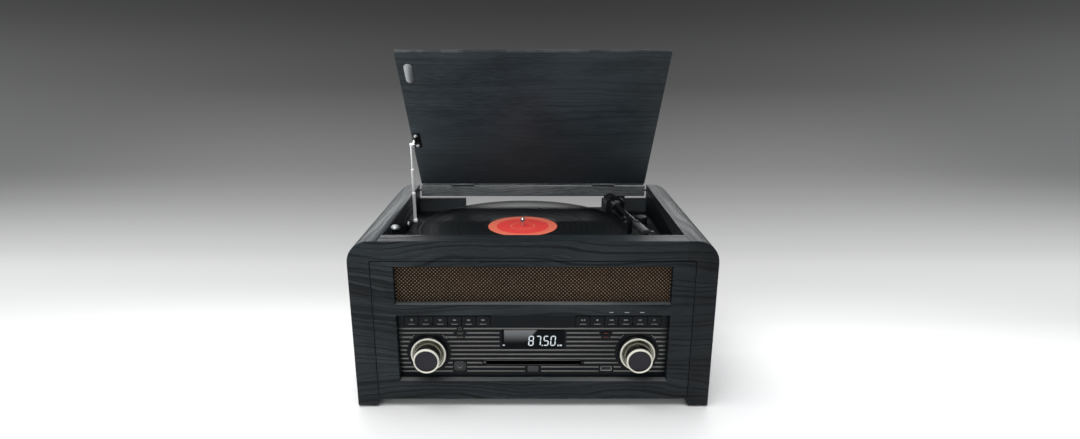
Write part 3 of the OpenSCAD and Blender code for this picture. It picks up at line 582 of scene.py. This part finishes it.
# painted light: the faces on the lid's underside get the brightened veneer
soften("lid_board", 0.0012, [M["wood_lid"], M["wood_lid_inner"]], 3,
       pick=lambda c, n: 1 if -n.y * math.sin(LA) - n.z * math.cos(LA) > 0.8 else 0)
soften("back_board", 0.0005, [M["black_board"], M["board_edge"]], 1, pick=lambda c, n: 0 if abs(n.y) > 0.8 else 1)
soften("bottom_board", 0.0005, M["black_board"], 1)
soften("deck_tray", 0.0006, M["deck"], 2)
keep("foot_pads", M["felt"])
soften("fasteners", 0.0001, [M["steel"], M["dark_steel"]], 1, pick=lambda c, n: 1 if (0.1795 < c.z < 0.182 and c.y < 0.29 + FY) or (abs(c.z - 0.216) < 0.003 and abs(c.x) > 0.173) else 0)
keep("grille_cloth", M["cloth"])
keep("speakers", M["speaker"])
keep("cd_mechanism", M["zinc"])
keep("control_board", M["board"])
keep("turntable_motor", M["steel"])
keep("drive_belt", M["rubber"])
keep("spindle_bearing", M["brass"])
keep("motor_pulley", M["brass"])
keep("record", M["vinyl"])
soften("stay_wall_bracket", 0.0001, [M["dark_steel"], M["stay"]], 1, pick=lambda c, n: 1 if c.x > -0.18585 else 0)
soften("stay_tube", 0.0002, M["stay"], 1)
soften("stay_middle", 0.0002, M["stay"], 1)
soften("stay_rod", 0.0002, M["stay"], 1)
soften("lid_rest", 0.0003, [M["rest_cap"], M["deck_dark"]], 2, pick=lambda c, n: 0 if c.z > 0.2185 else 1)
HY, HZ = 0.2966 + FY, 0.2262


def lid_local(v):
    """A point on the open lid, as it lies when the lid is shut: Y and Z."""
    y, z = v.y - HY, v.z - HZ
    return y * math.cos(LA) - z * math.sin(LA) + HY, y * math.sin(LA) + z * math.cos(LA) + HZ


soften("stay_lid_bracket", 0.0003, [M["dark_steel"], M["nickel"]], 2, pick=lambda c, n: 1 if lid_local(c)[1] < 0.2248 - 0.00145 else 0)
soften("hinge_leaves_fixed", 0.00015, M["hinge"], 1)
soften("hinge_leaves_lid", 0.00015, M["hinge"], 1)
soften("lid_plate", 0.0003, M["plate"], 2)

# ------------------------------------------------------------------ front
soften("bezel", 0.0004, M["bezel"], 2)
soften("stripe_trim", 0.00028, M["stripe"], 2)
soften("slot_trim", 0.0006, M["slot_ring"], 2)
soften("front_windows", 0.0003, M["lens"], 2)
keep("knob_dishes", M["dish"])
soften("eject_button", 0.0012, M["eject"], 4)
for side in ("left", "right"):
    for i in range(1, 7):
        soften("key_%s_%d" % (side, i), 0.00055, M["keys"], 3)

# knobs: cream base ring, bright cone, cream front ring, dark sunk face
KP = [
    (0.0, 0.5, 0), (22.2, 0.5, 0), (22.5, 0.9, 0), (22.5, 3.6, 0), (22.3, 3.9, 2), (22.4, 4.3, 2), (22.4, 6.2, 2),
    (22.3, 6.9, 1), (21.8, 7.7, 1), (21.1, 7.9, 1), (20.4, 7.7, 1), (20.0, 7.2, 2), (19.4, 6.5, 2), (18.3, 6.4, 2), (18.0, 7.2, 2),
    (17.2, 14.0, 2), (16.6, 21.5, 2), (16.35, 23.2, 1), (16.4, 24.2, 1), (16.1, 25.3, 1), (15.5, 25.9, 1), (14.8, 25.9, 1),
    (14.3, 25.5, 1), (14.1, 24.9, 3), (13.9, 24.2, 3), (12.5, 23.6, 3), (9.0, 23.1, 3), (4.0, 22.9, 3), (0.0, 22.85, 3),
]
for name, x in (("volume_knob", -132.2), ("tuning_knob", 132.2)):
    o = lathe(name + "_turned", [(r * mm, h * mm, m) for r, h, m in KP], toward(P(x, 10.8, 72.2), (0, -1, 0)),
              [M["knob_metal"], M["cream"], M["knob_side"], M["knob_face"]], body_of_node(name), steps=160, slot=SLOT[name])
    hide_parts(name)

def holed(name, outline, cx, cz, r, y0, y1, y_end, mats, body, bevel=0.35, **k):
    """A rounded plate with a blind round hole: face, rim, bore and its floor."""
    bm = bmesh.new()
    n = len(outline)
    ang = [math.atan2(z - cz, x - cx) for x, z in outline]
    mx = sum(x for x, z in outline) / n
    mz = sum(z for x, z in outline) / n
    inset = [(x + (mx - x) * bevel * 1.6 / 8, z + (mz - z) * bevel * 1.6 / 8) for x, z in outline]
    def loop(pts, y):
        return [bm.verts.new(P(x, y, z)) for x, z in pts]
    circ = lambda rr: [(cx + rr * math.cos(a), cz + rr * math.sin(a)) for a in ang]
    rows = [loop(outline, y1), loop(outline, y0 + bevel), loop(inset, y0), loop(circ(r + 1.0), y0), loop(circ(r + 0.5), y0 + 0.35),
            loop(circ(r + 0.05), y0 + 0.5), loop(circ(r), y0 + 0.9), loop(circ(r), y_end)]
    for i, (a, b) in enumerate(zip(rows, rows[1:])):
        for q in range(n):
            w = (q + 1) % n
            f = bm.faces.new((a[q], a[w], b[w], b[q]))
            f.material_index = 1 if i in (3, 4, 6) else 0
    f = bm.faces.new(rows[-1])
    f.material_index = 1
    bm.faces.new(rows[0])
    return from_bm(name, bm, mats, body, **k)


# headphone socket: a rounded dark surround with a bright lined bore
o = holed("headphone_surround", rounded_rect(-101.1, -86.1, 45.2, 59.4, 4.6, 8), -93.6, 52.3, 1.8, 9.9, 10.8, 23.5,
          [M["jack_ring"], M["alloy"]], "cabinet", slot="bezel_gloss")
barrel = lathe("headphone_barrel", [(4.4 * mm, 0.0, 0), (4.4 * mm, 13.6 * mm, 0), (3.9 * mm, 14.2 * mm, 0), (0.0, 14.2 * mm, 0)],
               toward(P(-93.6, 10.8, 52.3), (0, 1, 0)), M["jack"], "cabinet", steps=48, slot="bright_steel")
# USB port: dark rounded surround, folded bright shell, pale tongue


def frame_plate(name, outer, inner, y0, y1, y_in, mats, body, lip=0.25, **k):
    """A plate with a rectangular mouth, its shell running back to y_in."""
    bm = bmesh.new()
    n = len(outer)
    def loop(pts, y):
        return [bm.verts.new(P(x, y, z)) for x, z in pts]
    ax = sum(x for x, z in outer) / n
    az = sum(z for x, z in outer) / n
    shrink = lambda pts, d: [(x + (d if x < ax else -d), z + (d if z < az else -d)) for x, z in pts]
    rows = [loop(outer, y1), loop(outer, y0 + lip), loop(shrink(outer, lip), y0), loop(shrink(inner, -0.55), y0), loop(shrink(inner, -0.5), y0 - 0.0),
            loop(shrink(inner, -0.1), y0 + 0.12), loop(inner, y0 + 0.4), loop(inner, y_in)]
    for i, (a, b) in enumerate(zip(rows, rows[1:])):
        for q in range(n):
            w = (q + 1) % n
            f = bm.faces.new((a[q], a[w], b[w], b[q]))
            f.material_index = 1 if i >= 3 else 0
    f = bm.faces.new(rows[-1])
    f.material_index = 2
    bm.faces.new(rows[0])
    return from_bm(name, bm, mats, body, **k)


usb = frame_plate("usb_surround", rounded_rect(85.9, 101.5, 45.1, 53.3, 1.3, 5), rounded_rect(87.4, 100.0, 46.9, 51.5, 0.35, 5), 9.9, 10.8, 24.0,
                  [M["socket"], M["zinc"], M["jack"]], "cabinet", slot="bezel_gloss")
tongue = prism("usb_tongue", [(88.2, 48.7), (99.2, 48.7), (99.2, 51.0), (88.2, 51.0)], 11.2, 24.2, M["tongue"], "cabinet", slot="bright_steel")
shell = prism("usb_shell_back", rounded_rect(87.0, 100.4, 45.9, 52.5, 0.6, 4), 24.05, 25.0, M["steel"], "cabinet", 0.2, slot="bright_steel")
for piece in (o, barrel, usb, tongue, shell):
    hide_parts("front_sockets")

# felt lips just inside the disc slot leave a thin slit between them
for nm, z0, z1 in (("slot_lip_lower", 55.2, 57.1), ("slot_lip_upper", 57.4, 60.0)):
    prism(nm, [(-59.95, z0), (59.95, z0), (59.95, z1), (-59.95, z1)], 10.42, 11.9, M["slot_felt"], "cabinet", slot="bezel_gloss")

# seven-segment digits, upright strokes with mitred ends
SEG = {"0": "abcdef", "5": "afgcd", "7": "abc", "8": "abcdefg"}


def digit(bm, ch, x, z, w, h, t, y):
    g = 0.25
    slant = 0.08
    def quad(pts):
        vs = [bm.verts.new(P(px + (pz - z) * slant, y, pz)) for px, pz in pts]
        bm.faces.new(vs)
    xs, zs = (x, x + w), (z, z + h / 2, z + h)
    def horiz(zc):
        quad([(xs[0] + g, zc), (xs[0] + g + t / 2, zc + t / 2), (xs[1] - g - t / 2, zc + t / 2), (xs[1] - g, zc), (xs[1] - g - t / 2, zc - t / 2), (xs[0] + g + t / 2, zc - t / 2)])
    def vert(xc, za, zb):
        quad([(xc, za + g), (xc + t / 2, za + g + t / 2), (xc + t / 2, zb - g - t / 2), (xc, zb - g), (xc - t / 2, zb - g - t / 2), (xc - t / 2, za + g + t / 2)])
    for s in SEG[ch]:
        {"a": lambda: horiz(zs[2]), "g": lambda: horiz(zs[1]), "d": lambda: horiz(zs[0]),
         "f": lambda: vert(xs[0], zs[1], zs[2]), "b": lambda: vert(xs[1], zs[1], zs[2]),
         "e": lambda: vert(xs[0], zs[0], zs[1]), "c": lambda: vert(xs[1], zs[0], zs[1])}[s]()


bm = bmesh.new()
YD = 10.27
for ch, x in (("8", -5.6), ("7", 3.6), ("5", 13.4), ("0", 22.2)):
    digit(bm, ch, x, 81.9, 5.4, 12.6, 1.35, YD)
for x, z, w, h in ((11.0, 81.0, 1.5, 1.5), (31.0, 80.8, 1.0, 2.0), (32.6, 80.8, 1.0, 2.0), (34.4, 80.8, 2.2, 2.0), (-38.2, 81.4, 2.2, 1.4)):
    vs = [bm.verts.new(P(px, YD, pz)) for px, pz in ((x, z), (x + w, z), (x + w, z + h), (x, z + h))]
    bm.faces.new(vs)
r = bmesh.ops.extrude_face_region(bm, geom=list(bm.faces))
bmesh.ops.translate(bm, verts=[v for v in r["geom"] if isinstance(v, bmesh.types.BMVert)], vec=(0, -0.00006, 0))
from_bm("display_digits", bm, M["digit"], "cabinet", slot="bezel_gloss")


# small printed marks: shapes with a tenth of a millimetre of ink
def marks(name, shapes, y, mat, body, thick=0.06, slot=None):
    bm = bmesh.new()
    for pts in shapes:
        vs = [bm.verts.new(P(x, y, z)) for x, z in pts]
        bm.faces.new(vs)
    bmesh.ops.recalc_face_normals(bm, faces=bm.faces)
    r = bmesh.ops.extrude_face_region(bm, geom=list(bm.faces))
    bmesh.ops.translate(bm, verts=[v for v in r["geom"] if isinstance(v, bmesh.types.BMVert)], vec=(0, -thick * mm, 0))
    return from_bm(name, bm, mat, body, slot=slot)


def bar(x, z, w, h):
    return [(x - w / 2, z - h / 2), (x + w / 2, z - h / 2), (x + w / 2, z + h / 2), (x - w / 2, z + h / 2)]


def tri(x, z, s, d):
    return [(x - d * s / 2, z - s / 2), (x + d * s / 2, z), (x - d * s / 2, z + s / 2)]


def ring(x, z, r, w, n=20):
    out = []
    for i in range(n):
        a, b = 2 * math.pi * i / n, 2 * math.pi * (i + 1) / n
        out.append([(x + (r + w) * math.cos(a), z + (r + w) * math.sin(a)), (x + (r + w) * math.cos(b), z + (r + w) * math.sin(b)),
                    (x + r * math.cos(b), z + r * math.sin(b)), (x + r * math.cos(a), z + r * math.sin(a))])
    return out


def arc(x, z, r, w, a0, a1, n=14):
    out = []
    for i in range(n):
        a, b = math.radians(a0 + (a1 - a0) * i / n), math.radians(a0 + (a1 - a0) * (i + 1) / n)
        out.append([(x + (r + w) * math.cos(a), z + (r + w) * math.sin(a)), (x + (r + w) * math.cos(b), z + (r + w) * math.sin(b)),
                    (x + r * math.cos(b), z + r * math.sin(b)), (x + r * math.cos(a), z + r * math.sin(a))])
    return out


SYMBOLS = {
    "left": [lambda x: ring(x, 117.2, 1.0, 0.35) + [bar(x, 118.2, 0.4, 1.6)], lambda x: [bar(x - 1.1, 117.0, 1.5, 0.5), bar(x + 1.1, 117.0, 1.5, 0.5)],
             lambda x: [bar(x, 117.6, 4.4, 0.45), bar(x, 116.4, 3.2, 0.45)], lambda x: [tri(x - 1.2, 117.0, 2.0, -1), tri(x + 0.8, 117.0, 2.0, -1)],
             lambda x: [tri(x - 0.8, 117.0, 2.0, 1), tri(x + 1.2, 117.0, 2.0, 1)], lambda x: [bar(x, 117.6, 4.6, 0.45), bar(x, 116.4, 4.6, 0.45)]],
    "right": [lambda x: [tri(x - 0.8, 117.0, 2.2, 1), bar(x + 1.4, 117.0, 0.5, 2.2), bar(x + 2.3, 117.0, 0.5, 2.2)], lambda x: [bar(x, 117.0, 1.9, 1.9)],
              lambda x: [bar(x - 2.0, 117.0, 0.5, 2.0), tri(x - 0.6, 117.0, 2.0, -1), tri(x + 1.4, 117.0, 2.0, -1)],
              lambda x: [tri(x - 1.4, 117.0, 2.0, 1), tri(x + 0.6, 117.0, 2.0, 1), bar(x + 2.0, 117.0, 0.5, 2.0)],
              lambda x: [bar(x, 117.6, 4.0, 0.45), bar(x, 116.4, 4.0, 0.45)], lambda x: ring(x, 117.0, 0.8, 0.35)],
}
for side, s in (("left", -1), ("right", 1)):
    for i in range(6):
        x = s * 107.5 + (i + 1 - 3.5) * 17.9
        nm = "key_%s_%d" % (side, i + 1)
        marks(nm + "_symbol", SYMBOLS[side][i](x), 9.72, M["key_print"], body_of_node(nm), slot="key_black")
        # a painted highlight: a pale bar along the top of the finger nub
        marks(nm + "_nub_line", [bar(x, 111.9, 8.0, 0.5)], 8.82, M["key_print"], body_of_node(nm), slot="key_black")

# arcs beside the knobs, printed on the bezel
shapes = []
for s in (-1, 1):
    for q in (-1, 1):
        a = 90 - q * 44
        shapes += arc(s * 132.2, 72.2, 29.2, 0.5, a - 7, a + 7, 8)
marks("knob_arcs", shapes, 10.78, M["grey_print"], "cabinet", slot="bezel_gloss")
# small ring and bars in the stripe gaps
shapes = ring(-92.0, 104.6, 1.6, 0.45) + [bar(-92.0, 98.9, 8.0, 0.7), bar(-92.0, 97.4, 5.6, 0.6), bar(-92.0, 93.0, 7.5, 1.3)]
marks("panel_marks", shapes, 10.78, M["olive_print"], "cabinet", slot="bezel_gloss")
marks("receiver_mark", [bar(92.4, 98.6, 7.0, 1.2)], 10.28, M["dull_red"], "cabinet", slot="bezel_gloss")
marks("receiver_mark_low", [bar(92.4, 92.9, 6.6, 1.2)], 10.78, M["dull_red"], "cabinet", slot="bezel_gloss")
marks("source_marks", [bar(96.8, 131.4, 5.0, 1.0), bar(115.9, 131.4, 5.6, 1.0), bar(134.9, 131.4, 5.2, 1.0)], 0.78, M["grey_print"], "cabinet", slot="veneer")

# ------------------------------------------------------------------ deck pieces
# platter: black mat, machined rim and the bright spindle
PP = [(0.0, 149.4, 0), (3.1, 149.4, 0), (3.1, 183.0, 0), (11.0, 183.0, 0), (11.0, 187.0, 0), (57.0, 187.0, 0), (57.0, 183.0, 0), (60.0, 183.0, 0),
      (60.0, 187.0, 0), (96.0, 187.0, 0), (96.0, 183.4, 0), (99.7, 183.4, 0), (100.0, 183.7, 0), (100.0, 191.2, 0), (99.8, 191.7, 0), (99.2, 192.0, 0),
      (3.2, 192.0, 1), (3.2, 193.4, 1), (3.6, 193.41, 1), (3.6, 202.6, 1), (3.45, 203.4, 1), (3.1, 204.6, 1), (2.6, 205.5, 1), (1.9, 206.2, 1), (1.0, 206.6, 1), (0.0, 206.7, 1)]
o = lathe("platter_turned", [(r * mm, h * mm, m) for r, h, m in PP], Matrix.Translation(Vector((-0.015, 0.1675 + FY, 0.0))),
          [M["deck"], M["chrome"]], "platter_set", steps=192, slot=SLOT["platter"])
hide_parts("platter")
soften("arm_base", 0.0004, M["deck_dark"], 2)
soften("arm_rest", 0.0004, M["deck_dark"], 2)
soften("arm_yoke", 0.0004, M["deck_dark"], 2)
soften("arm_tube", 0.0003, M["alloy"], 2)
soften("counterweight", 0.0003, M["deck_dark"], 2)
soften("headshell", 0.0005, M["head"], 2)
soften("lift_lever", 0.0003, M["alloy"], 2)
soften("speed_knob", 0.0005, M["deck_dark"], 2)

# ------------------------------------------------------------------ back
soften("jack_plate", 0.0003, M["jack"], 2)
for nm, x, m in (("line_ring_left", -38, "white_ring"), ("line_ring_right", -20, "red_ring")):
    lathe(nm, [(4.2 * mm, 3.0 * mm, 0), (5.5 * mm, 3.0 * mm, 0), (5.55 * mm, 3.25 * mm, 0), (5.3 * mm, 3.5 * mm, 0), (4.4 * mm, 3.5 * mm, 0), (4.2 * mm, 3.3 * mm, 0), (4.2 * mm, 3.0 * mm, 0)],
          toward(P(x, 304, 78), (0, 1, 0)), M[m], "cabinet", steps=64, slot="jack_black")


# ------------------------------------------------------------------ floor and light
def floor_material():
    """Plain white sweep that falls away to dark grey up the wall."""
    w = Mat("studio_floor", (0.86, 0.86, 0.87), 0.85)
    w.b.inputs["Specular IOR Level"].default_value = 0.2
    s = w.xyz(w.coord())
    t = w.math("DIVIDE", w.math("ADD", s[1], w.math("MULTIPLY", s[2], 1.5)), 3.0)
    n = w.t.nodes.new("ShaderNodeValToRGB")
    w.put(n.inputs[0], t)
    stops = ((0.0, 0.93), (0.037, 0.75), (0.0633, 0.695), (0.126, 0.592), (0.159, 0.49), (0.2095, 0.393), (0.255, 0.317), (0.31, 0.254),
             (0.374, 0.212), (0.453, 0.195), (0.53, 0.183), (0.689, 0.151), (0.823, 0.110), (0.913, 0.071), (1.0, 0.054))
    e = n.color_ramp.elements
    while len(e) < len(stops):
        e.new(0.5)
    for q, (pos, v) in zip(e, stops):
        q.position = pos
        q.color = (v, v, v, 1)
    # the lamps are nearer the middle, so the paper is a little darker there
    x2 = w.math("MULTIPLY", s[0], s[0])
    even = w.math("DIVIDE", w.math("ADD", w.math("MULTIPLY", x2, 0.21), w.math("ADD", w.math("MULTIPLY", s[0], 0.035), 0.60)), 0.80)
    k = w.ramp(t, 0.02, 0.10)
    even = w.math("ADD", w.math("MULTIPLY", even, k), w.math("SUBTRACT", 1.0, k))
    out = w.t.nodes.new("ShaderNodeVectorMath")
    out.operation = "SCALE"
    w.put(out.inputs[0], n.outputs[0])
    w.put(out.inputs["Scale"], even)
    w.color(out.outputs[0])
    return w.m


bm = bmesh.new()
prof = [(-7.0, 0.0), (1.30, 0.0)]
for i in range(1, 13):
    a = math.radians(90 * i / 12)
    prof.append((1.30 + 0.6 * math.sin(a), 0.6 - 0.6 * math.cos(a)))
prof.append((1.90, 2.2))
rows = [[bm.verts.new((x, y, z - 0.0002)) for y, z in prof] for x in (-6.0, 6.0)]
for i in range(len(prof) - 1):
    bm.faces.new((rows[0][i], rows[1][i], rows[1][i + 1], rows[0][i + 1]))
me = bpy.data.meshes.new("studio_floor")
bm.to_mesh(me)
bm.free()
me.materials.append(floor_material())
for f in me.polygons:
    f.use_smooth = True
floor = bpy.data.objects.new("studio_floor", me)
bpy.context.scene.collection.objects.link(floor)

world = bpy.data.worlds.new("studio")
world.use_nodes = True
world.node_tree.nodes["Background"].inputs[0].default_value = (0.80, 0.82, 0.85, 1)
world.node_tree.nodes["Background"].inputs[1].default_value = 0.30
bpy.context.scene.world = world


def area(name, loc, target, size, energy, color=(1, 1, 1)):
    d = bpy.data.lights.new(name, "AREA")
    d.shape = "RECTANGLE"
    d.size, d.size_y = size
    d.energy = energy
    d.color = color
    o = bpy.data.objects.new(name, d)
    o.location = loc
    o.rotation_mode = "QUATERNION"
    o.rotation_quaternion = (Vector(target) - Vector(loc)).to_track_quat("-Z", "Y")
    bpy.context.scene.collection.objects.link(o)
    return o


area("top_front", (-0.40, -0.55, 1.80), (0, -0.10, 0.1), (2.0, 1.0), 27)
area("top_back", (0.0, 0.60, 1.90), (0, 0.45, 0.0), (2.6, 1.2), 15)
area("back_soft", (0.0, 1.45, 0.95), (0, 0, 0.22), (2.6, 0.55), 24)
area("front_fill", (-0.70, -2.35, 1.00), (0, 0, 0.25), (2.4, 1.0), 14)
